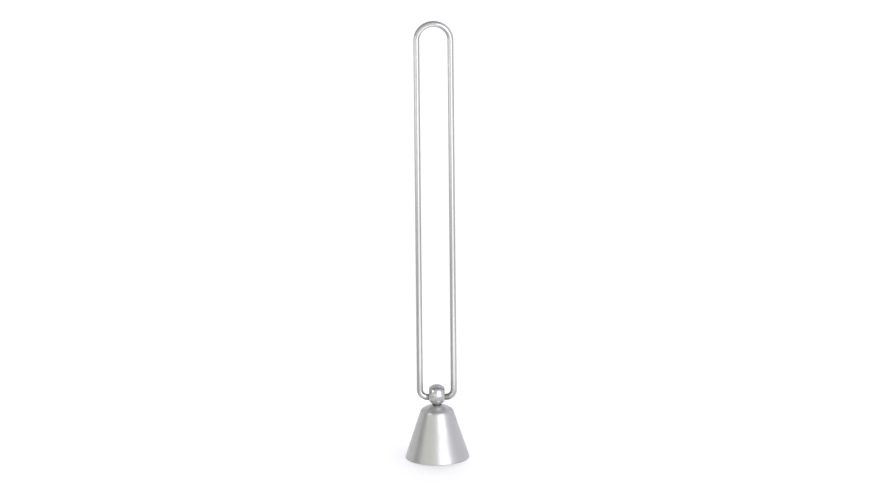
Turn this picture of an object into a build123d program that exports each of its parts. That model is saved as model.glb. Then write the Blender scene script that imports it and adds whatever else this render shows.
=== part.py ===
from build123d import *
import os
from math import atan2, cos, sqrt

# Candle snuffer: a hollow bell with a ball on its crown and a long wire loop through the ball.
# Millimetres, +Z up. The origin is the centre of the bell's rim, which stands on the table.
# The loop lies in the XZ plane, and it swings about the axis of its lower run, along X.

# Whole object
OVERALL_HEIGHT = 254.0

# Bell: outside of the cone, crown and rim
MOUTH_DIAMETER = 36.2
SHOULDER_DIAMETER = 18.4
SHOULDER_HEIGHT = 27.4
CROWN_RISE = 3.2
SHOULDER_ROUND = 2.8
BELL_WALL = 1.2
LAND_MARGIN = 0.3
SEAT_MARGIN = 0.9

# Ball on the crown
BALL_DIAMETER = 11.6
NECK_DIAMETER = 4.4
NECK_HEIGHT = 0.6
NECK_ROOT = 1.0
BORE_DIAMETER = 6.7
BORE_MOUTH_CHAMFER = 0.25

# Wire loop
WIRE_DIAMETER = 3.5
LEG_SPACING = 19.1
LOWER_BEND_RADIUS = 4.3
BORE_GAP = 0.1

# Low-head socket screw and plain washer under the crown
SCREW_DIAMETER = 3.0
SCREW_LENGTH = 4.0
SCREW_POINT_CHAMFER = 0.35
HEAD_DIAMETER = 5.5
HEAD_HEIGHT = 2.0
HEAD_CHAMFER = 0.3
SOCKET_ACROSS_FLATS = 2.0
SOCKET_DEPTH = 1.0
WASHER_DIAMETER = 7.0
WASHER_THICKNESS = 0.5
SCREW_CLEARANCE = 0.1
THREAD_GAP = 0.03
HOLE_END_GAP = 0.25

# How far a cut runs past the surface it cuts
OVERRUN = 1.0

# Radii
mouth_radius = MOUTH_DIAMETER / 2
shoulder_radius = SHOULDER_DIAMETER / 2
ball_radius = BALL_DIAMETER / 2
neck_radius = NECK_DIAMETER / 2
bore_radius = BORE_DIAMETER / 2
wire_radius = WIRE_DIAMETER / 2
screw_radius = SCREW_DIAMETER / 2
head_radius = HEAD_DIAMETER / 2
washer_radius = WASHER_DIAMETER / 2
hole_radius = screw_radius + THREAD_GAP
clearance_hole_radius = screw_radius + SCREW_CLEARANCE

# Crown dome: an arc centred on the axis, from the shoulder to the flat land under the ball's neck
crown_height = SHOULDER_HEIGHT + CROWN_RISE
land_radius = neck_radius + LAND_MARGIN
dome_drop = (shoulder_radius**2 - land_radius**2 - CROWN_RISE**2) / (2 * CROWN_RISE)
dome_centre = SHOULDER_HEIGHT - dome_drop
dome_radius = sqrt(shoulder_radius**2 + dome_drop**2)

# Seat for the washer: a flat inside the crown, where the dome's inside is as wide as the seat
seat_radius = washer_radius + SEAT_MARGIN
inner_dome_radius = dome_radius - BELL_WALL
seat_height = dome_centre + sqrt(inner_dome_radius**2 - seat_radius**2)

# Heights, from the rim up
washer_height = seat_height - WASHER_THICKNESS
ball_height = crown_height + NECK_HEIGHT + sqrt(ball_radius**2 - neck_radius**2)
run_height = ball_height - bore_radius + BORE_GAP + wire_radius
bend_height = OVERALL_HEIGHT - wire_radius - LEG_SPACING / 2
screw_tip_height = washer_height + SCREW_LENGTH


def inner_shoulder(rim_radius, taper, arc_radius):
    """Where the inside of the cone meets the inside of the dome, as (radius, height)."""
    a = 1 + taper**2
    b = rim_radius * taper + dome_centre
    c = rim_radius**2 + dome_centre**2 - arc_radius**2
    height = (b + sqrt(b**2 - a * c)) / a
    return rim_radius - taper * height, height


# Bell: spun cone with a domed crown, open below. Inside, a slope leads up to the washer's flat seat.
taper = (mouth_radius - shoulder_radius) / SHOULDER_HEIGHT
side_angle = atan2(mouth_radius - shoulder_radius, SHOULDER_HEIGHT)
inner_rim_radius = mouth_radius - BELL_WALL / cos(side_angle)
inner_shoulder_point = inner_shoulder(inner_rim_radius, taper, inner_dome_radius)

with BuildPart() as bell:
    with BuildSketch(Plane.XZ) as bell_outside:
        with BuildLine():
            Polyline((0, crown_height), (0, 0), (mouth_radius, 0), (shoulder_radius, SHOULDER_HEIGHT))
            RadiusArc((shoulder_radius, SHOULDER_HEIGHT), (land_radius, crown_height), -dome_radius)
            Line((land_radius, crown_height), (0, crown_height))
        make_face()
        shoulder = bell_outside.vertices().sort_by_distance((shoulder_radius, SHOULDER_HEIGHT))[0]
        fillet(shoulder, SHOULDER_ROUND)
    revolve(axis=Axis.Z)
    with BuildSketch(Plane.XZ):
        with BuildLine():
            Polyline((0, seat_height), (0, 0), (inner_rim_radius, 0), inner_shoulder_point,
                     (seat_radius, seat_height), (0, seat_height))
        make_face()
    revolve(axis=Axis.Z, mode=Mode.SUBTRACT)
    with Locations(Plane.XY.offset(crown_height)):
        Hole(clearance_hole_radius, crown_height - seat_height + OVERRUN)

# Ball: turned round the axis of its cross bore, with a neck that seats on the crown
bore_axis = Axis((0, 0, ball_height), (1, 0, 0))
bore_mouth = sqrt(ball_radius**2 - bore_radius**2)
with BuildPart() as ball:
    with BuildSketch(Plane.XZ.shift_origin((0, 0, ball_height))):
        with BuildLine():
            RadiusArc((-bore_mouth, bore_radius), (bore_mouth, bore_radius), ball_radius)
            Line((bore_mouth, bore_radius), (-bore_mouth, bore_radius))
        make_face()
    revolve(axis=bore_axis)
    chamfer(ball.edges().filter_by(GeomType.CIRCLE), BORE_MOUTH_CHAMFER)
    with BuildSketch(Plane.XY.offset(crown_height)):
        Circle(neck_radius)
    extrude(amount=NECK_HEIGHT + NECK_ROOT)
    with Locations(Plane.XY.offset(crown_height).rotated((180, 0, 0))):
        Hole(hole_radius, screw_tip_height + HOLE_END_GAP - crown_height)

# Handle: one round wire, bent to a closed loop whose ends are joined inside the ball
with BuildPart() as handle:
    leg = LEG_SPACING / 2
    with BuildLine(Plane.XZ) as loop:
        FilletPolyline((0, run_height), (leg, run_height), (leg, bend_height),
                       radius=LOWER_BEND_RADIUS)
        CenterArc((0, bend_height), leg, 0, 180)
        FilletPolyline((-leg, bend_height), (-leg, run_height), (0, run_height),
                       radius=LOWER_BEND_RADIUS)
    with BuildSketch(Plane.YZ.shift_origin((0, 0, run_height))):
        Circle(wire_radius)
    sweep(path=loop.wires()[0])

# Washer under the crown
with BuildPart() as washer:
    with BuildSketch(Plane.XY.offset(washer_height)):
        Circle(washer_radius)
        Circle(clearance_hole_radius, mode=Mode.SUBTRACT)
    extrude(amount=WASHER_THICKNESS)

# Socket screw, from inside the bell up into the ball
with BuildPart() as screw:
    with BuildSketch(Plane.XY.offset(washer_height)):
        Circle(screw_radius)
    extrude(amount=SCREW_LENGTH)
    chamfer(screw.edges().sort_by(Axis.Z)[-1], SCREW_POINT_CHAMFER)
    with BuildSketch(Plane.XY.offset(washer_height)):
        Circle(head_radius)
    extrude(amount=-HEAD_HEIGHT)
    chamfer(screw.edges().sort_by(Axis.Z)[0], HEAD_CHAMFER)
    with BuildSketch(Plane.XY.offset(washer_height - HEAD_HEIGHT)):
        RegularPolygon(SOCKET_ACROSS_FLATS / 2, 6, major_radius=False)
    extrude(amount=SOCKET_DEPTH, mode=Mode.SUBTRACT)

bell.part.label = "bell"
ball.part.label = "ball"
handle.part.label = "handle"
washer.part.label = "washer"
screw.part.label = "screw"

os.makedirs("parts", exist_ok=True)
for piece in (bell, ball, handle, washer, screw):
    export_step(piece.part, f"parts/{piece.part.label}.step")
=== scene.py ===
"""Candle snuffer: fine meshes, satin steel finishes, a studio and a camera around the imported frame.

All lengths are in metres. The origin is the centre of the bell's rim, +Z is up, and the wire loop
lies in the XZ plane. The loop swings about its own lower run, which lies in the ball's cross bore.
"""

import logging
import math
from collections.abc import Callable
from dataclasses import dataclass
from enum import Enum

import bmesh
import bpy
from mathutils import Matrix, Vector


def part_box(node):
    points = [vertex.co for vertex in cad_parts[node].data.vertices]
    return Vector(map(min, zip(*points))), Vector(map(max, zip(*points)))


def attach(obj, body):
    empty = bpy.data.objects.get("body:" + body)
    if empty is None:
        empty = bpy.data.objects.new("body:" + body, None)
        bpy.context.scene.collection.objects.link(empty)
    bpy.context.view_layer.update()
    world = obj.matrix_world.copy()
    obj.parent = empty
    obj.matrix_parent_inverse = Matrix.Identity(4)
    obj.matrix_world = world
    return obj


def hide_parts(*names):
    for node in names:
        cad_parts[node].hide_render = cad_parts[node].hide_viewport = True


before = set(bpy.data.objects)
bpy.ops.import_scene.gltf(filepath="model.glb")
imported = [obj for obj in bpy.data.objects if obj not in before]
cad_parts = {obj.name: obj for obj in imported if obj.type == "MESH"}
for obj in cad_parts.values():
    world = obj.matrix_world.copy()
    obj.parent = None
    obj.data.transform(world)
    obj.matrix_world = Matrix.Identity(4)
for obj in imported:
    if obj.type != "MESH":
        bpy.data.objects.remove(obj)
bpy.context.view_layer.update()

MM = 0.001
QUARTER_TURN = math.pi / 2
HALF_TURN = math.pi
FULL_TURN = 2 * math.pi

# Edges that turn by more than the first stay sharp, and points closer than the second are joined
SHARP_ANGLE = math.radians(40.0)
WELD_REACH = 0.0005 * MM

# The colour mix node's sockets, by number
MIX_FACTOR = 0
MIX_FIRST = 6
MIX_SECOND = 7
MIX_RESULT = 2

Triple = tuple[float, float, float]
Colour = Triple
OpaqueColour = tuple[float, float, float, float]
Point = tuple[float, float]
Outline = list[Point]
Route = list[tuple[Point, Point]]

WHITE: Colour = (1.0, 1.0, 1.0)
BLACK: Colour = (0.0, 0.0, 0.0)
log = logging.getLogger("snuffer")


class Body(Enum):
    """The two bodies that move against each other."""

    BELL = "bell_assembly"
    HANDLE = "handle"


class Slot(Enum):
    """The record's material slots."""

    BELL = "bell_steel"
    BALL = "ball_steel"
    WIRE = "wire_steel"
    FASTENER = "fastener_steel"


class Joining(Enum):
    """How a second mesh changes a piece."""

    ADD = "UNION"
    CUT = "DIFFERENCE"


class Value:
    """A number that varies over a surface, held as a socket. Its operators add Math nodes."""

    def __init__(self, shader: "Shader", socket: bpy.types.NodeSocket) -> None:
        """Keep the output socket that gives the number, and the shader whose tree holds it."""
        self.shader = shader
        self.socket = socket

    def __add__(self, other: "Value | float") -> "Value":
        """Return self + other."""
        return self.shader.math("ADD", self, other)

    def __radd__(self, other: float) -> "Value":
        """Return other + self."""
        return self.shader.math("ADD", other, self)

    def __sub__(self, other: "Value | float") -> "Value":
        """Return self - other."""
        return self.shader.math("SUBTRACT", self, other)

    def __rsub__(self, other: float) -> "Value":
        """Return other - self."""
        return self.shader.math("SUBTRACT", other, self)

    def __mul__(self, other: "Value | float") -> "Value":
        """Return self * other."""
        return self.shader.math("MULTIPLY", self, other)

    def __rmul__(self, other: float) -> "Value":
        """Return other * self."""
        return self.shader.math("MULTIPLY", other, self)

    def __truediv__(self, other: "Value | float") -> "Value":
        """Return self / other."""
        return self.shader.math("DIVIDE", self, other)

    def __abs__(self) -> "Value":
        """Return the size of self without its sign."""
        return self.shader.math("ABSOLUTE", self)

    def root(self) -> "Value":
        """Return the square root of self."""
        return self.shader.math("SQRT", self)


class Shader:
    """Builds the nodes of one material or of the world."""

    def __init__(self, tree: bpy.types.NodeTree) -> None:
        """Empty the node tree, which the methods then fill."""
        self.tree = tree
        tree.nodes.clear()

    def node(
        self, kind: str, settings: dict | None = None, inputs: dict | None = None
    ) -> bpy.types.Node:
        """Add a node, set it up and fill its sockets.

        Args:
            kind: The node's type name.
            settings: The node's own properties.
            inputs: Values or links by socket name or number.

        Returns:
            The new node.
        """
        made = self.tree.nodes.new(kind)
        for name, value in (settings or {}).items():
            setattr(made, name, value)
        for name, value in (inputs or {}).items():
            source = value.socket if isinstance(value, Value) else value
            if isinstance(source, bpy.types.NodeSocket):
                self.tree.links.new(source, made.inputs[name])
            else:
                made.inputs[name].default_value = source
        return made

    def math(self, operation: str, *operands: Value | float) -> Value:
        """Return the result of a Math node, whose operands are given in the node's order."""
        made = self.node("ShaderNodeMath", {"operation": operation}, dict(enumerate(operands)))
        return Value(self, made.outputs["Value"])

    def scaled(self, vector: bpy.types.NodeSocket, scales: Triple) -> bpy.types.NodeSocket:
        """Return a vector whose three parts are multiplied by the scales."""
        made = self.node("ShaderNodeVectorMath", {"operation": "MULTIPLY"}, {0: vector, 1: scales})
        return made.outputs["Vector"]

    def length(self, vector: bpy.types.NodeSocket) -> Value:
        """Return a vector's length."""
        made = self.node("ShaderNodeVectorMath", {"operation": "LENGTH"}, {0: vector})
        return Value(self, made.outputs["Value"])

    def mix(
        self,
        factor: Value,
        first: OpaqueColour | bpy.types.NodeSocket,
        second: OpaqueColour | bpy.types.NodeSocket,
    ) -> bpy.types.NodeSocket:
        """Mix two colours: a factor of 0 gives the first, and 1 the second."""
        inputs = {MIX_FACTOR: factor, MIX_FIRST: first, MIX_SECOND: second}
        return self.node("ShaderNodeMix", {"data_type": "RGBA"}, inputs).outputs[MIX_RESULT]

    def noise(self, place: bpy.types.NodeSocket, detail: float, scale: float = 1.0) -> Value:
        """Return noise from 0 to 1, with detail in finer octaves and scale in waves a unit."""
        inputs = {"Vector": place, "Scale": scale, "Detail": detail}
        return Value(self, self.node("ShaderNodeTexNoise", None, inputs).outputs["Fac"])

    def painted(self, name: str) -> Value:
        """Return the number that a mesh attribute holds."""
        return Value(
            self, self.node("ShaderNodeAttribute", {"attribute_name": name}).outputs["Fac"]
        )

    def emission(self, colour: bpy.types.NodeSocket, strength: float) -> bpy.types.NodeSocket:
        """Return a light of its own with a colour that varies and a fixed strength."""
        made = self.node("ShaderNodeEmission", None, {"Color": colour, "Strength": strength})
        return made.outputs["Emission"]

    def finish(self, surface: bpy.types.NodeSocket) -> None:
        """Make the surface the material's output."""
        self.node("ShaderNodeOutputMaterial", None, {"Surface": surface})


@dataclass(frozen=True)
class Band:
    """A soft step between two levels."""

    low: float
    high: float

    def rise(self, value: Value) -> Value:
        """Return 0 below the band, 1 above it and a soft step between them.

        Args:
            value: The number to step.

        Returns:
            The step.
        """
        settings = {"interpolation_type": "SMOOTHSTEP"}
        inputs = {"Value": value, "From Min": self.low, "From Max": self.high}
        made = value.shader.node("ShaderNodeMapRange", settings, inputs)
        return Value(value.shader, made.outputs["Result"])

    def fall(self, value: Value) -> Value:
        """Return 1 below the band, 0 above it and a soft step between them."""
        return 1 - self.rise(value)


@dataclass(frozen=True)
class Spots:
    """Soft spots all over a piece: noise of one scale that starts and fills within a band."""

    scale: float
    detail: float
    band: Band

    def mask(self, shader: Shader, place: bpy.types.NodeSocket) -> Value:
        """Return the spots' mask, from 0 to 1, at a place."""
        return self.band.rise(shader.noise(place, self.detail, self.scale))


def opaque(colour: Colour) -> OpaqueColour:
    """Return the colour with full opacity."""
    return (*colour, 1.0)


def shade_of(colour: Colour, share: float) -> OpaqueColour:
    """Return the colour multiplied by a share, no brighter than white."""
    return opaque(tuple(min(part * share, 1.0) for part in colour))


def new_material(name: str) -> tuple[bpy.types.Material, Shader]:
    """Make an empty material.

    Args:
        name: The material's name.

    Returns:
        The material, and the shader that fills it.
    """
    made = bpy.data.materials.new(name)
    made.use_nodes = True
    return made, Shader(made.node_tree)


@dataclass(frozen=True)
class SatinSteel:
    """Stainless steel with fine lines of one direction, soft tone changes and polished high spots.

    The mesh gives the lines' direction in its "grain" attribute, in metres: noise that is stretched
    there by line_pitch and line_length turns into brushing. Its "wear" attribute is 1 on the edges
    that hands, tools and the table have polished. Its "fine" attribute is a painted sheen: 1 where
    the tone is painted paler in place of brighter reflections. Its painted shade attribute is 1 where
    the tone is painted near black in place of shade: in crevices, in the screw's socket and on the
    wire beside the bore.
    """

    slot: Slot
    tone: Colour
    cool_tone: Colour
    roughness: float
    line_pitch: float
    line_length: float
    line_depth: float
    anisotropy: float = 0.0
    anisotropy_turn: float = 0.25
    line_bump: float = 0.35
    line_shade: float = 0.5
    fine_line_share: float = 0.65
    fine_line_detail: float = 2.0
    coarse_line_detail: float = 1.0
    coarse_line_width: float = 4.0
    coarse_line_length: float = 2.0
    clouds: Spots = Spots(scale=95.0, detail=3.0, band=Band(0.35, 0.68))
    scuffs: Spots = Spots(scale=620.0, detail=4.0, band=Band(0.62, 0.74))
    scuff_roughness: float = 0.04
    wear_edge: Band = Band(0.1, 0.9)
    wear_least: float = 0.7
    wear_cloud_share: float = 0.5
    wear_gloss: float = 0.55
    wear_lift: float = 0.10
    wear_shade: float = 0.7
    # Painted sheen: how much paler the tone is painted where the "fine" attribute is 1
    painted_sheen_lift: float = 0.25
    tone_share: float = 0.035
    roughness_share: float = 0.22
    # Painted shade: the near-black tone and the roughness painted where shade falls in crevices
    painted_shade_tone: Colour = (0.035, 0.034, 0.032)
    painted_shade_roughness: float = 0.6

    def material(self) -> bpy.types.Material:
        """Build the procedural material.

        Returns:
            The finished material.
        """
        made, shader = new_material(self.slot.value)
        place = shader.node("ShaderNodeTexCoord").outputs["Object"]
        lines = self._lines(shader)
        clouds = self.clouds.mask(shader, place)
        scuffs = self.scuffs.mask(shader, place)
        # Painted shade, read from the mesh: 1 where shade is painted into the tone
        painted_shade = shader.painted("painted_shade")
        worn = shader.painted("wear") * (self.wear_least + self.wear_cloud_share * clouds)
        worn = self.wear_edge.rise(worn)
        spread = (lines + clouds - 1) * self.roughness_share
        rough = self.roughness * (1 + spread) * (1 - worn * (1 - self.wear_gloss))
        rough = rough + scuffs * self.scuff_roughness
        bump_inputs = {"Strength": self.line_bump, "Distance": self.line_depth, "Height": lines}
        bump = shader.node("ShaderNodeBump", None, bump_inputs)
        surface_inputs = {
            "Base Color": self._tone(shader, lines, clouds, worn, painted_shade),
            "Metallic": 1.0,
            "Roughness": rough + (self.painted_shade_roughness - rough) * painted_shade,
            "Anisotropic": self.anisotropy,
            "Anisotropic Rotation": self.anisotropy_turn,
            "Normal": bump.outputs["Normal"],
        }
        surface = shader.node("ShaderNodeBsdfPrincipled", None, surface_inputs)
        shader.finish(surface.outputs["BSDF"])
        return made

    def _lines(self, shader: Shader) -> Value:
        """Make the brushing: fine lines, and coarse ones that are wider and longer.

        Args:
            shader: The shader that takes the nodes.

        Returns:
            The lines, from 0 to 1.
        """
        grain = shader.node("ShaderNodeAttribute", {"attribute_name": "grain"}).outputs["Vector"]
        across = 1 / self.line_pitch
        along = 1 / self.line_length
        coarse_across = across / self.coarse_line_width
        coarse_along = along / self.coarse_line_length
        fine = shader.scaled(grain, (across, along, along))
        coarse = shader.scaled(grain, (coarse_across, coarse_along, coarse_along))
        fine_lines = shader.noise(fine, self.fine_line_detail)
        coarse_lines = shader.noise(coarse, self.coarse_line_detail)
        return fine_lines * self.fine_line_share + coarse_lines * (1 - self.fine_line_share)

    def _tone(
        self, shader: Shader, lines: Value, clouds: Value, worn: Value, painted_shade: Value
    ) -> bpy.types.NodeSocket:
        """Mix the steel's tone from its patterns, its painted sheen and its painted shade.

        Args:
            shader: The shader that takes the nodes.
            lines: The brushing.
            clouds: The soft clouds, which are cooler.
            worn: The polished spots, which are lighter.
            painted_shade: The painted shade in crevices, which darkens the tone towards near black.

        Returns:
            The tone's socket.
        """
        tone = shader.mix(clouds, opaque(self.tone), opaque(self.cool_tone))
        tone = shader.mix(lines * self.line_shade, tone, shade_of(self.tone, 1 - self.tone_share))
        tone = shader.mix(worn * self.wear_shade, tone, shade_of(self.tone, 1 + self.wear_lift))
        # Painted sheen: the tone is painted paler where the reflections should be brighter
        tone = shader.mix(shader.painted("fine"), tone, shade_of(self.tone, 1 + self.painted_sheen_lift))
        # Painted shade: the tone is painted near black in crevices
        return shader.mix(painted_shade, tone, opaque(self.painted_shade_tone))


@dataclass(frozen=True)
class StudioPaper:
    """The plain pale floor. A little light of its own keeps it white, and the shadows stay."""

    colour: Colour = (0.8, 0.8, 0.8)
    lift: float = 0.17

    def material(self) -> bpy.types.Material:
        """Build the floor's material.

        Returns:
            The finished material.
        """
        made, shader = new_material("studio_paper")
        path = shader.node("ShaderNodeLightPath")
        seen = Value(shader, path.outputs["Is Camera Ray"])
        seen = seen + Value(shader, path.outputs["Is Glossy Ray"])
        seen = seen + Value(shader, path.outputs["Is Transmission Ray"])
        paper = shader.node("ShaderNodeBsdfDiffuse", None, {"Color": opaque(self.colour)})
        glow = shader.emission(shader.mix(seen, opaque(BLACK), opaque(WHITE)), self.lift)
        both = shader.node("ShaderNodeAddShader", None, {0: paper.outputs["BSDF"], 1: glow})
        shader.finish(both.outputs["Shader"])
        return made


@dataclass(frozen=True)
class ReflectedShadeCard:
    """A glowing card on the table that only reflections see: a painted reflection of the table, with
    painted shade near the object.
    """

    light: float = 1.1
    # The card's glow near the object: painted shade in the table's reflection
    near_light: float = 0.80
    distance: Band = Band(0.30, 0.65)

    def material(self) -> bpy.types.Material:
        """Build the card's material.

        Returns:
            The finished material.
        """
        made, shader = new_material("reflected_shade_card")
        place = shader.node("ShaderNodeNewGeometry").outputs["Position"]
        away = self.distance.rise(shader.length(place))
        grey = shade_of(WHITE, self.near_light / self.light)
        shader.finish(shader.emission(shader.mix(away, grey, opaque(WHITE)), self.light))
        return made


def direction(azimuth: float, elevation: float) -> Vector:
    """Return the unit vector that points to a place around the object.

    Args:
        azimuth: Degrees round the object, 0 on the camera's side and 90 on the picture's right.
        elevation: Degrees above the horizon.

    Returns:
        The unit vector.
    """
    turn = math.radians(azimuth)
    rise = math.radians(elevation)
    return Vector(
        (math.sin(turn) * math.cos(rise), -math.cos(turn) * math.cos(rise), math.sin(rise))
    )


def arc(centre: Point, radius: float, start: float, end: float, steps: int) -> Outline:
    """Return the points of a circular arc.

    Args:
        centre: The arc's centre.
        radius: The arc's radius.
        start: The first point's angle.
        end: The last point's angle.
        steps: How many straight steps stand for the arc.

    Returns:
        The arc's points, both ends included.
    """
    angles = (start + (end - start) * step / steps for step in range(steps + 1))
    return [(centre[0] + radius * math.cos(a), centre[1] + radius * math.sin(a)) for a in angles]


def rounded(corners: list[Triple], steps: int) -> Outline:
    """Round the corners of a closed outline.

    Args:
        corners: Each corner's two coordinates and its radius, 0 for a sharp one.
        steps: How many straight steps stand for each round.

    Returns:
        The outline's points, in the same order.
    """
    points: Outline = []
    for index, (a, b, radius) in enumerate(corners):
        corner = Vector((a, b))
        if radius == 0:
            points.append((a, b))
            continue
        before = Vector(corners[index - 1][:2]) - corner
        after = Vector(corners[(index + 1) % len(corners)][:2]) - corner
        before.normalize()
        after.normalize()
        half = before.angle(after) / 2
        middle = corner + (before + after).normalized() * (radius / math.sin(half))
        start = corner + before * (radius / math.tan(half)) - middle
        end = corner + after * (radius / math.tan(half)) - middle
        turn = start.angle(end)
        first = math.atan2(start.y, start.x)
        sign = 1 if start.x * end.y - start.y * end.x > 0 else -1
        points += arc((middle.x, middle.y), radius, first, first + sign * turn, steps)
    return points


def shade_smooth(mesh: bpy.types.Mesh) -> None:
    """Shade a mesh smooth, apart from its sharp edges."""
    mesh.shade_smooth()
    mesh.set_sharp_from_angle(angle=SHARP_ANGLE)


def mesh_object(name: str, sheet: bmesh.types.BMesh) -> bpy.types.Object:
    """Turn finished mesh code into a smooth-shaded object.

    Args:
        name: The piece's name.
        sheet: The mesh, which is freed.

    Returns:
        The new object, linked to the scene.
    """
    bmesh.ops.recalc_face_normals(sheet, faces=sheet.faces)
    mesh = bpy.data.meshes.new(name)
    sheet.to_mesh(mesh)
    sheet.free()
    shade_smooth(mesh)
    made = bpy.data.objects.new(name, mesh)
    bpy.context.scene.collection.objects.link(made)
    return made


def spin(outline: Outline, segments: int, closed: bool = True) -> bmesh.types.BMesh:
    """Turn an outline of (radius, height) points round the Z axis.

    Args:
        outline: The points. An open outline starts and ends on the axis.
        segments: How many steps go round.
        closed: Whether the last point joins the first.

    Returns:
        The turned mesh.
    """
    sheet = bmesh.new()
    rings = []
    for radius, height in outline:
        if radius == 0:
            rings.append([sheet.verts.new((0, 0, height))])
            continue
        turns = (FULL_TURN * step / segments for step in range(segments))
        rings.append(
            [sheet.verts.new((radius * math.cos(a), radius * math.sin(a), height)) for a in turns]
        )
    pairs = list(zip(rings, rings[1:] + rings[:1]))
    for lower, upper in pairs if closed else pairs[:-1]:
        for step in range(segments):
            follow = (step + 1) % segments
            if len(lower) == 1:
                sheet.faces.new((lower[0], upper[step], upper[follow]))
            elif len(upper) == 1:
                sheet.faces.new((lower[step], lower[follow], upper[0]))
            else:
                sheet.faces.new((lower[step], lower[follow], upper[follow], upper[step]))
    return sheet


def rod(name: str, radius: float, low: float, high: float, segments: int) -> bpy.types.Object:
    """Make an upright rod on the Z axis.

    Args:
        name: The rod's name.
        radius: Its radius.
        low: The height of its lower end.
        high: The height of its upper end.
        segments: How many flats go round.

    Returns:
        The rod.
    """
    line = [(0, low), (radius, low), (radius, high), (0, high)]
    return mesh_object(name, spin(line, segments, closed=False))


def combine(piece: bpy.types.Object, tool: bpy.types.Object, joining: Joining) -> None:
    """Change a piece by a second mesh, which is then removed.

    Args:
        piece: The piece that stays.
        tool: The mesh that is added or cut away.
        joining: Which of the two.
    """
    modifier = piece.modifiers.new("combine", "BOOLEAN")
    modifier.operation = joining.value
    modifier.solver = "EXACT"
    modifier.object = tool
    with bpy.context.temp_override(object=piece, active_object=piece):
        bpy.ops.object.modifier_apply(modifier=modifier.name)
    bpy.data.objects.remove(tool)
    weld(piece)
    shade_smooth(piece.data)


def weld(piece: bpy.types.Object) -> None:
    """Join the points that lie on each other, so that no face without area is left between them.

    Args:
        piece: The piece to clean.
    """
    sheet = bmesh.new()
    sheet.from_mesh(piece.data)
    bmesh.ops.remove_doubles(sheet, verts=sheet.verts, dist=WELD_REACH)
    sheet.to_mesh(piece.data)
    sheet.free()


@dataclass(frozen=True)
class Paint:
    """What a piece's finish is told at one point of its mesh."""

    grain: Vector
    wear: float = 0.0
    # Painted shade: 1 where the tone is painted near black in place of shade
    painted_shade: float = 0.0
    # Painted sheen: 1 where the tone is painted paler in place of brighter reflections
    fine: float = 0.0


def paint(piece: bpy.types.Object, paints: list[Paint]) -> None:
    """Store the grain of each point, and then its wear, its painted shade and its painted sheen.

    Args:
        piece: The piece to write to.
        paints: One entry for each point of the mesh, in order.
    """
    attributes = piece.data.attributes
    grain = attributes.new("grain", "FLOAT_VECTOR", "POINT")
    grain.data.foreach_set("vector", [part for each in paints for part in each.grain])
    for name in ("wear", "painted_shade", "fine"):
        made = attributes.new(name, "FLOAT", "POINT")
        made.data.foreach_set("value", [getattr(each, name) for each in paints])


def paint_by_place(piece: bpy.types.Object, rule: Callable[[Vector], Paint]) -> None:
    """Paint a piece by a rule that looks only at each point's place."""
    paint(piece, [rule(vertex.co) for vertex in piece.data.vertices])


def turned_grain(point: Vector) -> Vector:
    """Return the grain of a piece turned round Z: lines run round it, whatever its slope."""
    radius = math.hypot(point.x, point.y)
    return Vector((point.z - radius, point.x, point.y))


def near(value: float, target: float, reach: float) -> float:
    """Return 1 at the target, falling to 0 at the reach on both sides."""
    return max(0.0, 1.0 - abs(value - target) / reach)


def ramp(value: float, none: float, full: float) -> float:
    """Return 0 at none, 1 at full and a straight ramp between them."""
    return min(1.0, max(0.0, (value - none) / (full - none)))


def even_shading(piece: bpy.types.Object) -> None:
    """Let the large faces lead the shading, so that small rounds don't bend it.

    Args:
        piece: The piece to shade.
    """
    modifier = piece.modifiers.new("even_shading", "WEIGHTED_NORMAL")
    modifier.mode = "FACE_AREA"
    modifier.keep_sharp = True


def seat(
    piece: bpy.types.Object, node: str, body: Body, finish: bpy.types.Material
) -> None:
    """Dress a piece and tie it to the frame.

    Args:
        piece: The finished piece.
        node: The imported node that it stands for.
        body: The body that it moves with.
        finish: Its material.
    """
    piece.data.materials.clear()
    piece.data.materials.append(finish)
    even_shading(piece)
    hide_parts(node)
    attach(piece, body.value)
    points = len(piece.data.vertices)
    log.info("%s: %d points on %s, finish %s", piece.name, points, body.value, finish.name)


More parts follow.
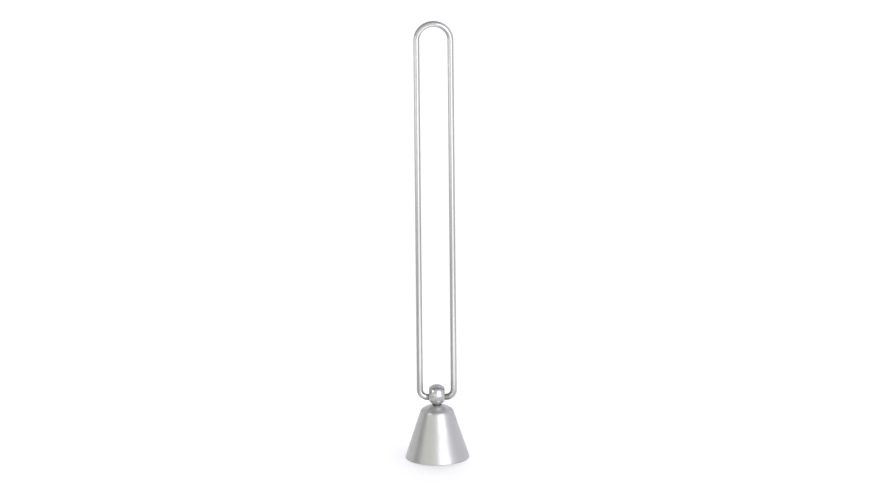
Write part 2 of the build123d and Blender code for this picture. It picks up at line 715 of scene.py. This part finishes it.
@dataclass
class Bell:
    """The snuffer's cup: a thin cone with a domed crown, open below."""

    mouth_radius: float
    crown_height: float
    shoulder_radius: float = 9.2 * MM
    shoulder_height: float = 27.4 * MM
    shoulder_round: float = 2.8 * MM
    wall: float = 1.2 * MM
    land_radius: float = 2.5 * MM
    seat_radius: float = 4.4 * MM
    hole_radius: float = 1.6 * MM
    rim_round: float = 0.25 * MM
    inner_round: float = 1.6 * MM
    segments: int = 256
    dome_steps: int = 18
    shoulder_steps: int = 14
    round_steps: int = 5
    rim_wear: float = 0.5
    rim_wear_reach: float = 0.9 * MM
    # Painted shade round the ball's neck, and the painted sheen's outer and inner edges as shares of
    # the shoulder's radius
    painted_shade_width: float = 0.2 * MM
    sheen_outer_share: float = 0.85
    sheen_inner_share: float = 0.6

    def dome(self) -> tuple[float, float]:
        """Work out the crown's dome.

        Returns:
            The height of the dome's centre, and its radius.
        """
        rise = self.crown_height - self.shoulder_height
        drop = (self.shoulder_radius**2 - self.land_radius**2 - rise**2) / (2 * rise)
        return self.shoulder_height - drop, math.hypot(self.shoulder_radius, drop)

    def side_angle(self) -> float:
        """Return the lean of the cone's side from upright."""
        return math.atan2(self.mouth_radius - self.shoulder_radius, self.shoulder_height)

    def meet(self, foot: float, reach: float) -> Point:
        """Find where a line that leans like the cone's side meets a circle round the dome's centre.

        Args:
            foot: The line's radius at the rim's height.
            reach: The circle's radius.

        Returns:
            The meeting point's radius and height.
        """
        slope = math.tan(self.side_angle())
        centre = self.dome()[0]
        a = 1 + slope**2
        b = foot * slope + centre
        c = foot**2 + centre**2 - reach**2
        height = (b + math.sqrt(b**2 - a * c)) / a
        return foot - slope * height, height

    def crown_line(self) -> Outline:
        """Draw the outside from the shoulder's round to the land under the ball's neck.

        Returns:
            The line's (radius, height) points, from the lowest up.
        """
        lean = self.side_angle()
        centre, radius = self.dome()
        foot = self.mouth_radius - self.shoulder_round / math.cos(lean)
        middle = self.meet(foot, radius - self.shoulder_round)
        dome_angle = math.atan2(middle[1] - centre, middle[0])
        land_angle = math.acos(self.land_radius / radius)
        shoulder = arc(middle, self.shoulder_round, lean, dome_angle, self.shoulder_steps)
        return shoulder + arc((0, centre), radius, dome_angle, land_angle, self.dome_steps)[1:]

    def inner_line(self) -> Outline:
        """Draw the inside, from the hole's lower edge down to the rim and round it.

        Returns:
            The line's (radius, height) points.
        """
        centre, radius = self.dome()
        inner_dome = radius - self.wall
        seat_height = centre + math.sqrt(inner_dome**2 - self.seat_radius**2)
        foot = self.mouth_radius - self.wall / math.cos(self.side_angle())
        corners = [
            (self.hole_radius, seat_height, 0.0),
            (self.seat_radius, seat_height, self.rim_round),
            (*self.meet(foot, inner_dome), self.inner_round),
            (foot, 0.0, self.rim_round),
            (self.mouth_radius, 0.0, self.rim_round),
            (self.shoulder_radius, self.shoulder_height, 0.0),
        ]
        return rounded(corners, self.round_steps)[:-1]

    def inside(self, point: Vector) -> bool:
        """Return whether a point of the crown lies on its inner side."""
        centre, radius = self.dome()
        return math.hypot(point.x, point.y, point.z - centre) < radius - self.wall / 2

    def paint(self, point: Vector) -> Paint:
        """Give the bell a rubbed rim, a painted sheen on the crown, and painted shade round the
        ball's neck.

        Args:
            point: The point's place.

        Returns:
            The paint.
        """
        radius = math.hypot(point.x, point.y)
        rim = self.rim_wear * near(point.z, 0.0, self.rim_wear_reach)
        on_top = point.z > self.crown_height - self.wall / 2
        # Painted shade in the crevice under the ball's neck
        painted_shade = ramp(radius, self.land_radius + self.painted_shade_width, self.land_radius) if on_top else 0.0
        # Painted sheen: the crown's top is painted paler towards the middle
        fine = 0.0
        if point.z > self.shoulder_height and not self.inside(point):
            outer = self.sheen_outer_share * self.shoulder_radius
            fine = ramp(radius, outer, self.sheen_inner_share * self.shoulder_radius)
        return Paint(turned_grain(point), wear=rim, painted_shade=painted_shade, fine=fine)

    def build(self, finish: bpy.types.Material) -> bpy.types.Object:
        """Make, paint and seat the bell.

        Args:
            finish: The bell's material.

        Returns:
            The bell.
        """
        outline = self.inner_line() + self.crown_line() + [(self.hole_radius, self.crown_height)]
        piece = mesh_object("bell_shell", spin(outline, self.segments))
        paint_by_place(piece, self.paint)
        seat(piece, "bell", Body.BELL, finish)
        return piece


@dataclass
class Ball:
    """The bead on the crown, with a wide cross bore, a short neck and a blind screw hole."""

    half_width: float
    top: float
    bottom: float
    radius: float = 5.8 * MM
    bore_radius: float = 3.35 * MM
    mouth_round: float = 0.32 * MM
    neck_radius: float = 2.2 * MM
    neck_root: float = 1.6 * MM
    hole_radius: float = 1.53 * MM
    hole_depth: float = 2.0 * MM
    segments: int = 144
    neck_segments: int = 96
    hole_segments: int = 64
    belt_steps: int = 40
    mouth_steps: int = 8
    mouth_wear_reach: float = 0.7 * MM
    bore_wear: float = 0.8
    bore_margin: float = 0.1 * MM
    # Painted shade on the neck, and the painted sheen on the ball's lower part
    painted_shade_top: float = 0.8 * MM
    painted_shade_full: float = 0.4 * MM
    sheen_most: float = 0.6
    sheen_top_share: float = 1 / 3
    sheen_full_share: float = 0.6

    def centre(self) -> float:
        """Return the height of the bore's axis."""
        return self.top - self.radius

    def section(self) -> Outline:
        """Draw the bead's section, with rounded mouths.

        Returns:
            Its points, as the distance from the bore's axis and the place along it.
        """
        gap = self.radius - self.mouth_round
        inside = self.bore_radius + self.mouth_round
        mouth = math.sqrt(gap**2 - inside**2)
        lean = math.atan2(mouth, inside)
        belt = arc((0, 0), self.radius, -lean, lean, self.belt_steps)
        right = arc((inside, mouth), self.mouth_round, lean, HALF_TURN, self.mouth_steps)
        left = arc(
            (inside, -mouth), self.mouth_round, HALF_TURN, FULL_TURN - lean, self.mouth_steps
        )
        return belt + right[1:] + left[:-1]

    def paint(self, point: Vector) -> Paint:
        """Polish the bore's mouths and its bottom, paint shade on the neck and a paler sheen on the
        ball's lower part.

        Args:
            point: The point's place.

        Returns:
            The paint.
        """
        from_bore = math.hypot(point.y, point.z - self.centre()) - self.bore_radius
        mouth = near(abs(point.x), self.half_width, self.mouth_wear_reach)
        lower = point.z < self.centre()
        bore = self.bore_wear if from_bore < self.bore_margin and lower else 0.0
        # Painted shade under the ball, where it meets the crown
        painted_shade = ramp(point.z, self.bottom + self.painted_shade_top, self.bottom + self.painted_shade_full)
        # Painted sheen: the lower part is painted paler
        fine_top = self.centre() - self.sheen_top_share * self.radius
        fine = self.sheen_most * ramp(
            point.z, fine_top, self.centre() - self.sheen_full_share * self.radius
        )
        return Paint(turned_grain(point), wear=max(mouth, bore), painted_shade=painted_shade, fine=fine)

    def build(self, finish: bpy.types.Material) -> bpy.types.Object:
        """Make, paint and seat the ball.

        Args:
            finish: The ball's material.

        Returns:
            The ball.
        """
        bead = spin(self.section(), self.segments)
        place = Matrix.Translation((0, 0, self.centre())) @ Matrix.Rotation(QUARTER_TURN, 4, "Y")
        bmesh.ops.transform(bead, matrix=place, verts=bead.verts)
        piece = mesh_object("ball_bead", bead)
        neck_top = self.centre() - self.radius + self.neck_root
        neck = rod("ball_neck", self.neck_radius, self.bottom, neck_top, self.neck_segments)
        combine(piece, neck, Joining.ADD)
        below = self.bottom - self.hole_depth
        above = self.bottom + self.hole_depth
        hole = rod("ball_hole", self.hole_radius, below, above, self.hole_segments)
        combine(piece, hole, Joining.CUT)
        paint_by_place(piece, self.paint)
        seat(piece, "ball", Body.BELL, finish)
        return piece


@dataclass
class WireHandle:
    """The closed loop of round wire: two legs, a half-round top bend and two tight lower bends."""

    half_width: float
    top: float
    run_bottom: float
    wire_radius: float = 1.75 * MM
    lower_bend: float = 4.3 * MM
    bore_mouth: float = 4.5 * MM
    sides: int = 40
    run_steps: int = 4
    lower_bend_steps: int = 22
    leg_steps: int = 24
    top_bend_steps: int = 64
    run_reach: float = 3.0 * MM
    rubbed_reach: float = 6.0 * MM
    top_wear: float = 0.2
    # Painted shade on the run beside the bore's mouths, reaching further on the right
    left_painted_shade_reach: float = 1.9 * MM
    right_painted_shade_reach: float = 3.8 * MM
    painted_shade_share: float = 0.5

    def path(self) -> list[tuple[Vector, Vector]]:
        """Lead the wire's middle line round the loop, from the middle of its lower run.

        Returns:
            Pairs of a point and the unit vector towards the loop's inside, in the XZ plane.
        """
        leg = self.half_width - self.wire_radius
        run = self.run_bottom + self.wire_radius
        bend = self.top - self.wire_radius - leg
        corner = leg - self.lower_bend
        rise = run + self.lower_bend
        halves = [
            ((corner * step / self.run_steps, run), (0.0, 1.0)) for step in range(self.run_steps)
        ]
        steps = list(halves)
        steps += self._turn(
            (corner, rise), self.lower_bend, -QUARTER_TURN, 0.0, self.lower_bend_steps
        )
        steps += self._straight((leg, rise), (leg, bend), (-1.0, 0.0))
        steps += self._turn((0.0, bend), leg, 0.0, HALF_TURN, self.top_bend_steps)
        steps += self._straight((-leg, bend), (-leg, rise), (1.0, 0.0))
        end = HALF_TURN + QUARTER_TURN
        steps += self._turn((-corner, rise), self.lower_bend, HALF_TURN, end, self.lower_bend_steps)
        steps += [((-a, b), inward) for (a, b), inward in halves[:0:-1]]
        return [(Vector((a, 0, b)), Vector((c, 0, d))) for (a, b), (c, d) in steps]

    @staticmethod
    def _turn(centre: Point, radius: float, start: float, end: float, count: int) -> Route:
        """Lead the wire's middle line round a bend, as pairs of a place and an inward direction."""
        places = arc(centre, radius, start, end, count)
        return [((a, b), ((centre[0] - a) / radius, (centre[1] - b) / radius)) for a, b in places]

    def _straight(self, start: Point, end: Point, inward: Point) -> Route:
        """Lead the wire's middle line along a leg, without the leg's two ends.

        Args:
            start: The leg's first point.
            end: The leg's last point.
            inward: The direction towards the loop's inside.

        Returns:
            Pairs of a place and the inward direction.
        """
        shares = (step / self.leg_steps for step in range(1, self.leg_steps))
        return [
            (
                (start[0] + (end[0] - start[0]) * share, start[1] + (end[1] - start[1]) * share),
                inward,
            )
            for share in shares
        ]

    def paint(self, point: Vector, grain: Vector) -> Paint:
        """Rub the run and the top bend, and paint shade on the run beside the bore, further on the
        right.

        Args:
            point: The point's place.
            grain: Its grain, which follows the wire.

        Returns:
            The paint.
        """
        on_run = near(point.z, self.run_bottom + self.wire_radius, self.run_reach)
        rubbed = on_run * near(point.x, 0.0, self.rubbed_reach)
        held = self.top_wear if point.z > self.top - self.half_width else 0.0
        # Painted shade on the run where it leaves the bore
        spread = self.left_painted_shade_reach if point.x < 0 else self.right_painted_shade_reach
        at_mouth = ramp(abs(point.x), self.bore_mouth + spread, self.bore_mouth + spread / 2)
        painted_shade = self.painted_shade_share * at_mouth if on_run > 0 else 0.0
        return Paint(grain, wear=max(rubbed, held), painted_shade=painted_shade)

    def build(self, finish: bpy.types.Material) -> bpy.types.Object:
        """Make, paint and seat the handle.

        Args:
            finish: The wire's material.

        Returns:
            The handle.
        """
        sheet = bmesh.new()
        rings = []
        grains = []
        length = 0.0
        route = self.path()
        angles = [FULL_TURN * side / self.sides for side in range(self.sides)]
        for index, (centre, inward) in enumerate(route):
            if index:
                length += (centre - route[index - 1][0]).length
            ring = []
            for angle in angles:
                across = math.cos(angle) * self.wire_radius
                forward = math.sin(angle) * self.wire_radius
                ring.append(sheet.verts.new(centre + inward * across + Vector((0, forward, 0))))
                grains.append(Vector((across, forward, length)))
            rings.append(ring)
        for ring, following in zip(rings, rings[1:] + rings[:1]):
            for side in range(self.sides):
                after = (side + 1) % self.sides
                sheet.faces.new((ring[side], ring[after], following[after], following[side]))
        piece = mesh_object("handle_wire", sheet)
        points = zip(piece.data.vertices, grains)
        paint(piece, [self.paint(vertex.co, grain) for vertex, grain in points])
        seat(piece, "handle", Body.HANDLE, finish)
        return piece


@dataclass
class Fastening:
    """The socket screw and the washer that hold the ball down from inside the bell."""

    washer_low: float
    washer_high: float
    washer_radius: float
    screw_bottom: float
    screw_top: float
    head_radius: float
    shank_radius: float = 1.5 * MM
    washer_hole: float = 1.6 * MM
    washer_round: float = 0.1 * MM
    head_round: float = 0.3 * MM
    point_chamfer: float = 0.35 * MM
    socket_flats: float = 2.0 * MM
    socket_depth: float = 1.0 * MM
    socket_sides: int = 6
    segments: int = 96
    washer_round_steps: int = 3
    screw_round_steps: int = 5
    washer_shine: float = 0.2 * MM
    head_shine: float = 0.4 * MM
    socket_shine: float = 0.3 * MM
    socket_share: float = 0.6
    # Painted shade deep in the socket
    socket_painted_shade: float = 0.5

    def washer(self, finish: bpy.types.Material) -> bpy.types.Object:
        """Make, paint and seat the washer.

        Args:
            finish: The fasteners' material.

        Returns:
            The washer.
        """
        corners = [
            (self.washer_hole, self.washer_low, self.washer_round),
            (self.washer_radius, self.washer_low, self.washer_round),
            (self.washer_radius, self.washer_high, self.washer_round),
            (self.washer_hole, self.washer_high, self.washer_round),
        ]
        outline = rounded(corners, self.washer_round_steps)
        piece = mesh_object("crown_washer", spin(outline, self.segments))
        paint_by_place(piece, self._washer_paint)
        seat(piece, "washer", Body.BELL, finish)
        return piece

    def screw(self, finish: bpy.types.Material) -> bpy.types.Object:
        """Make, paint and seat the screw.

        Args:
            finish: The fasteners' material.

        Returns:
            The screw.
        """
        under_head = self.washer_low
        corners = [
            (0.0, self.screw_bottom, 0.0),
            (self.head_radius, self.screw_bottom, self.head_round),
            (self.head_radius, under_head, self.washer_round),
            (self.shank_radius, under_head, 0.0),
            (self.shank_radius, self.screw_top - self.point_chamfer, 0.0),
            (self.shank_radius - self.point_chamfer, self.screw_top, 0.0),
            (0.0, self.screw_top, 0.0),
        ]
        outline = rounded(corners, self.screw_round_steps)
        piece = mesh_object("socket_screw", spin(outline, self.segments, closed=False))
        corner_radius = self.socket_flats / 2 / math.cos(HALF_TURN / self.socket_sides)
        low = self.screw_bottom - self.socket_depth
        high = self.screw_bottom + self.socket_depth
        socket = rod("screw_socket", corner_radius, low, high, self.socket_sides)
        combine(piece, socket, Joining.CUT)
        paint_by_place(piece, self._screw_paint)
        seat(piece, "screw", Body.BELL, finish)
        return piece

    def _washer_paint(self, point: Vector) -> Paint:
        """Return the paint of a washer whose edge shines."""
        edge = near(math.hypot(point.x, point.y), self.washer_radius, self.washer_shine)
        return Paint(turned_grain(point), wear=edge)

    def _screw_paint(self, point: Vector) -> Paint:
        """Let the head's edge and the socket's mouth shine, and paint shade deep in the socket.

        Args:
            point: The point's place.

        Returns:
            The paint.
        """
        from_axis = math.hypot(point.x, point.y)
        edge = near(from_axis, self.head_radius, self.head_shine)
        mouth = near(from_axis, self.socket_flats / 2, self.socket_shine)
        wear = max(edge, mouth) if point.z < self.washer_low else 0.0
        # The socket's painted shade: deep inside it, near the axis
        within = from_axis < self.socket_share * self.socket_flats
        deep = point.z > self.screw_bottom + self.socket_depth / 2
        return Paint(
            turned_grain(point), wear=wear, painted_shade=self.socket_painted_shade if within and deep else 0.0
        )


@dataclass(frozen=True)
class SoftBox:
    """A soft rectangular lamp. It faces the object, unless it has a tilt of its own.

    The metal reflects it, and it doesn't light the floor. With reflected off it is the other way
    round. Its angles are in degrees, as direction takes them.
    """

    name: str
    azimuth: float
    elevation: float
    distance: float
    width: float
    height: float
    radiance: float
    aim_height: float = 0.06
    colour: Colour = WHITE
    reflected: bool = True
    tilt: float | None = None

    def build(self) -> bpy.types.Object:
        """Make the lamp and turn it to the object.

        Returns:
            The lamp.
        """
        lamp = bpy.data.lights.new(self.name, "AREA")
        lamp.shape = "RECTANGLE"
        lamp.size = self.width
        lamp.size_y = self.height
        lamp.energy = self.radiance * math.pi * self.width * self.height
        lamp.color = self.colour
        made = bpy.data.objects.new(self.name, lamp)
        away = direction(self.azimuth, self.elevation) * self.distance
        made.location = Vector((0, 0, self.aim_height)) + away
        tilt = self.elevation if self.tilt is None else self.tilt
        made.rotation_euler = (QUARTER_TURN - math.radians(tilt), 0, math.radians(self.azimuth))
        made.visible_camera = False
        made.visible_glossy = self.reflected
        made.visible_diffuse = not self.reflected
        bpy.context.scene.collection.objects.link(made)
        log.info("%s: lamp of %.1f W", self.name, lamp.energy)
        return made


@dataclass
class Studio:
    """The camera, the floor, the card of painted shade and the lamps."""

    aim: Triple = (-0.2 * MM, 0.0, 124.17 * MM)
    image_width: int = 870
    pixels_per_metre: float = 1780.0
    sensor_width: float = 36.0
    distance: float = 8.0
    clip_end: float = 50.0
    elevation: float = 15.5
    roll: float = -0.57
    floor_width: float = 10.0
    card_width: float = 0.54
    card_depth: float = 0.53
    card_place: Triple = (-0.33, -0.235, 0.002)

    def camera(self) -> bpy.types.Object:
        """Make the camera at the photograph's viewing angle.

        Returns:
            The camera.
        """
        data = bpy.data.cameras.new("camera")
        data.sensor_width = self.sensor_width
        data.lens = self.sensor_width * self.distance * self.pixels_per_metre / self.image_width
        data.clip_end = self.clip_end
        made = bpy.data.objects.new("camera", data)
        away = direction(0.0, self.elevation)
        made.location = Vector(self.aim) + away * self.distance
        level = away.to_track_quat("Z", "Y").to_matrix().to_4x4()
        made.rotation_euler = (level @ Matrix.Rotation(math.radians(self.roll), 4, "Z")).to_euler()
        bpy.context.scene.collection.objects.link(made)
        bpy.context.scene.camera = made
        return made

    @staticmethod
    def _sheet(
        name: str, width: float, depth: float, finish: bpy.types.Material
    ) -> bpy.types.Object:
        """Make a flat sheet that belongs to the studio.

        Args:
            name: The sheet's name.
            width: Its size along X.
            depth: Its size along Y.
            finish: Its material.

        Returns:
            The sheet, with its middle at the origin.
        """
        sheet = bmesh.new()
        corners = ((-width, -depth), (width, -depth), (width, depth), (-width, depth))
        sheet.faces.new([sheet.verts.new((x / 2, y / 2, 0)) for x, y in corners])
        piece = mesh_object(name, sheet)
        piece.data.materials.append(finish)
        log.info("%s: sheet of %.2f by %.2f m", name, width, depth)
        return piece

    def floor(self, paper: bpy.types.Material) -> bpy.types.Object:
        """Make the floor that the bell stands on."""
        return self._sheet("studio_floor", self.floor_width, self.floor_width, paper)

    def card(self, face: bpy.types.Material) -> bpy.types.Object:
        """Make the glowing card on the table's left that only reflections see, with painted shade
        near the object.

        Args:
            face: The card's material.

        Returns:
            The card.
        """
        piece = self._sheet("reflected_shade_card", self.card_width, self.card_depth, face)
        piece.location = self.card_place
        piece.visible_camera = False
        piece.visible_diffuse = False
        piece.visible_shadow = False
        return piece

    def lamps(self) -> None:
        """Make the soft boxes: an upright one, two flat ones, a small one and the floor's."""
        boxes = (
            SoftBox(
                "key_box", azimuth=28.0, elevation=0.0, distance=0.5, width=0.40, height=0.6,
                radiance=2.1, colour=(0.99, 0.98, 1.0), aim_height=0.31,
            ),
            SoftBox(
                "table_box", azimuth=22.0, elevation=0.0, distance=0.335, width=0.30, height=0.42,
                radiance=1.25, aim_height=0.004, tilt=-90.0,
            ),
            SoftBox(
                "left_table_box", azimuth=-50.0, elevation=0.0, distance=0.85, width=1.0,
                height=0.45, radiance=1.25, aim_height=0.003, tilt=-90.0,
            ),
            SoftBox(
                "fill_box", azimuth=-63.0, elevation=40.0, distance=0.30, width=0.055, height=0.055,
                radiance=12.0, colour=(1.0, 1.0, 0.93), aim_height=0.0375, tilt=75.0,
            ),
            SoftBox(
                "floor_box", azimuth=180.0, elevation=55.0, distance=4.0, width=2.2, height=2.2,
                radiance=3.9, reflected=False,
            ),
        )
        for box in boxes:
            box.build()


class SkyRay:
    """The direction that a ray of the world takes: its parts to the right, to the back and up.

    Its level part is never quite 0, not even straight up, because other numbers are divided by it.
    """

    level_least: float = 0.0001

    def __init__(self, shader: Shader) -> None:
        """Read the direction.

        Args:
            shader: The world's shader.
        """
        source = shader.node("ShaderNodeTexCoord").outputs["Generated"]
        parts = shader.node("ShaderNodeSeparateXYZ", None, {"Vector": source}).outputs
        self.east, self.north, self.up = (Value(shader, parts[name]) for name in ("X", "Y", "Z"))
        self.level = (self.east * self.east + self.north * self.north + self.level_least).root()

    def towards(self, target: Vector) -> Value:
        """Return the cosine of the angle between the ray and a unit vector."""
        return self.east * target.x + self.north * target.y + self.up * target.z


@dataclass(frozen=True)
class Side:
    """One side of the surroundings, seen from above: 1 at its azimuth, fading to 0.

    The azimuth is in degrees, as direction takes it. The edge is the cosine of the angle at which
    the side has faded.
    """

    azimuth: float
    edge: float

    def mask(self, ray: SkyRay) -> Value:
        """Return how much a ray points to this side, from 0 to 1.

        Args:
            ray: The ray's direction.

        Returns:
            The mask.
        """
        middle = direction(self.azimuth, 0.0)
        along = (ray.east * middle.x + ray.north * middle.y) / ray.level
        return Band(self.edge, 1.0).rise(along)


@dataclass(frozen=True)
class Surroundings:
    """The soft world that the metal reflects.

    It is pale all round, less so behind, with more light low in front and on the right. A grey arch
    passes over the object from left to right and fades on the right, and one soft spot high on the
    left is darker. The left is neutral, with a warmer part low in front of it. The right is cooler.
    """

    light: float = 1.08
    low: Band = Band(0.5, 0.8)
    back: Side = Side(azimuth=-160.0, edge=0.35)
    back_light: float = 0.8
    front: Side = Side(azimuth=-8.0, edge=0.7)
    front_top: Band = Band(0.12, 0.34)
    front_light: float = 0.6
    right: Side = Side(azimuth=50.0, edge=0.78)
    right_light: float = 0.2
    arch_lean: float = 0.08
    arch_edge: Band = Band(0.12, 0.34)
    arch_share: float = 0.61
    zenith: Band = Band(0.6, 0.95)
    zenith_share: float = 0.70
    arch_end: Band = Band(0.2, 0.75)
    arch_end_share: float = 0.88
    spot_azimuth: float = -60.0
    spot_elevation: float = 40.0
    spot_edge: Band = Band(0.86, 0.96)
    spot_share: float = 0.2
    cool_edge: Band = Band(-1.0, 0.2)
    cool_tint: Colour = (0.97, 0.955, 1.02)
    warm: Side = Side(azimuth=-38.0, edge=0.7)
    warm_tint: Colour = (1.0, 1.0, 0.92)

    def build(self) -> bpy.types.World:
        """Make the world.

        Returns:
            The world.
        """
        world = bpy.data.worlds.new("studio_world")
        world.use_nodes = True
        bpy.context.scene.world = world
        shader = Shader(world.node_tree)
        ray = SkyRay(shader)
        inputs = {"Color": self._tint(shader, ray), "Strength": self._brightness(ray)}
        background = shader.node("ShaderNodeBackground", None, inputs)
        shader.node("ShaderNodeOutputWorld", None, {"Surface": background.outputs["Background"]})
        return world

    def _brightness(self, ray: SkyRay) -> Value:
        """Work out how bright the surroundings are.

        Args:
            ray: The ray's direction.

        Returns:
            The brightness, 1 for white.
        """
        bright = self.light + (self.back_light - self.light) * self.back.mask(ray)
        bright = bright + self.front_light * self.front.mask(ray) * self.front_top.fall(ray.up)
        arch = self.arch_edge.fall(abs(ray.north + self.arch_lean))
        depth = self.arch_share + (self.zenith_share - self.arch_share) * self.zenith.rise(ray.up)
        depth = depth * (1 - self.arch_end_share * self.arch_end.rise(ray.east))
        bright = bright * (1 - depth * arch)
        bright = bright + self.right_light * self.right.mask(ray) * self.low.fall(ray.up)
        spot = ray.towards(direction(self.spot_azimuth, self.spot_elevation))
        return bright * (1 - self.spot_share * self.spot_edge.rise(spot))

    def _tint(self, shader: Shader, ray: SkyRay) -> bpy.types.NodeSocket:
        """Return the socket of the surroundings' tint in a ray's direction."""
        tint = shader.mix(self.cool_edge.rise(ray.east), opaque(WHITE), opaque(self.cool_tint))
        return shader.mix(self.warm.mask(ray) * self.low.fall(ray.up), tint, opaque(self.warm_tint))


def steels() -> dict[Slot, bpy.types.Material]:
    """Make the steel of each of the record's slots.

    Returns:
        The materials by slot.
    """
    warm = (0.482, 0.482, 0.476)
    cool = (0.476, 0.476, 0.482)
    finishes = (
        SatinSteel(
            Slot.BELL, tone=warm, cool_tone=cool, roughness=0.42, anisotropy=0.55,
            line_pitch=0.16 * MM, line_length=9 * MM, line_depth=0.003 * MM,
        ),
        SatinSteel(
            Slot.BALL, tone=(0.466, 0.466, 0.46), cool_tone=(0.46, 0.46, 0.466), roughness=0.25,
            anisotropy=0.3, line_pitch=0.14 * MM, line_length=5 * MM, line_depth=0.002 * MM,
        ),
        SatinSteel(
            Slot.WIRE, tone=(0.434, 0.434, 0.43), cool_tone=(0.43, 0.43, 0.434), roughness=0.22,
            line_pitch=0.12 * MM, line_length=14 * MM, line_depth=0.002 * MM,
        ),
        SatinSteel(
            Slot.FASTENER, tone=cool, cool_tone=cool, roughness=0.28,
            line_pitch=0.12 * MM, line_length=3 * MM, line_depth=0.003 * MM,
        ),
    )
    return {finish.slot: finish.material() for finish in finishes}


def main() -> None:
    """Build the snuffer, piece by piece, then the studio."""
    logging.basicConfig(level=logging.INFO, format="%(name)s: %(message)s")
    bpy.context.scene.view_settings.view_transform = "Standard"
    steel = steels()

    bell_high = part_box("bell")[1]
    Bell(mouth_radius=bell_high.x, crown_height=bell_high.z).build(steel[Slot.BELL])
    ball_low, ball_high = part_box("ball")
    Ball(half_width=ball_high.x, top=ball_high.z, bottom=ball_low.z).build(steel[Slot.BALL])
    wire_low, wire_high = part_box("handle")
    handle = WireHandle(half_width=wire_high.x, top=wire_high.z, run_bottom=wire_low.z)
    handle.build(steel[Slot.WIRE])
    washer_low, washer_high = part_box("washer")
    screw_low, screw_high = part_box("screw")
    fastening = Fastening(
        washer_low=washer_low.z,
        washer_high=washer_high.z,
        washer_radius=washer_high.x,
        screw_bottom=screw_low.z,
        screw_top=screw_high.z,
        head_radius=screw_high.x,
    )
    fastening.washer(steel[Slot.FASTENER])
    fastening.screw(steel[Slot.FASTENER])

    studio = Studio()
    studio.camera()
    studio.floor(StudioPaper().material())
    studio.card(ReflectedShadeCard().material())
    studio.lamps()
    Surroundings().build()


if __name__ == "__main__":
    main()
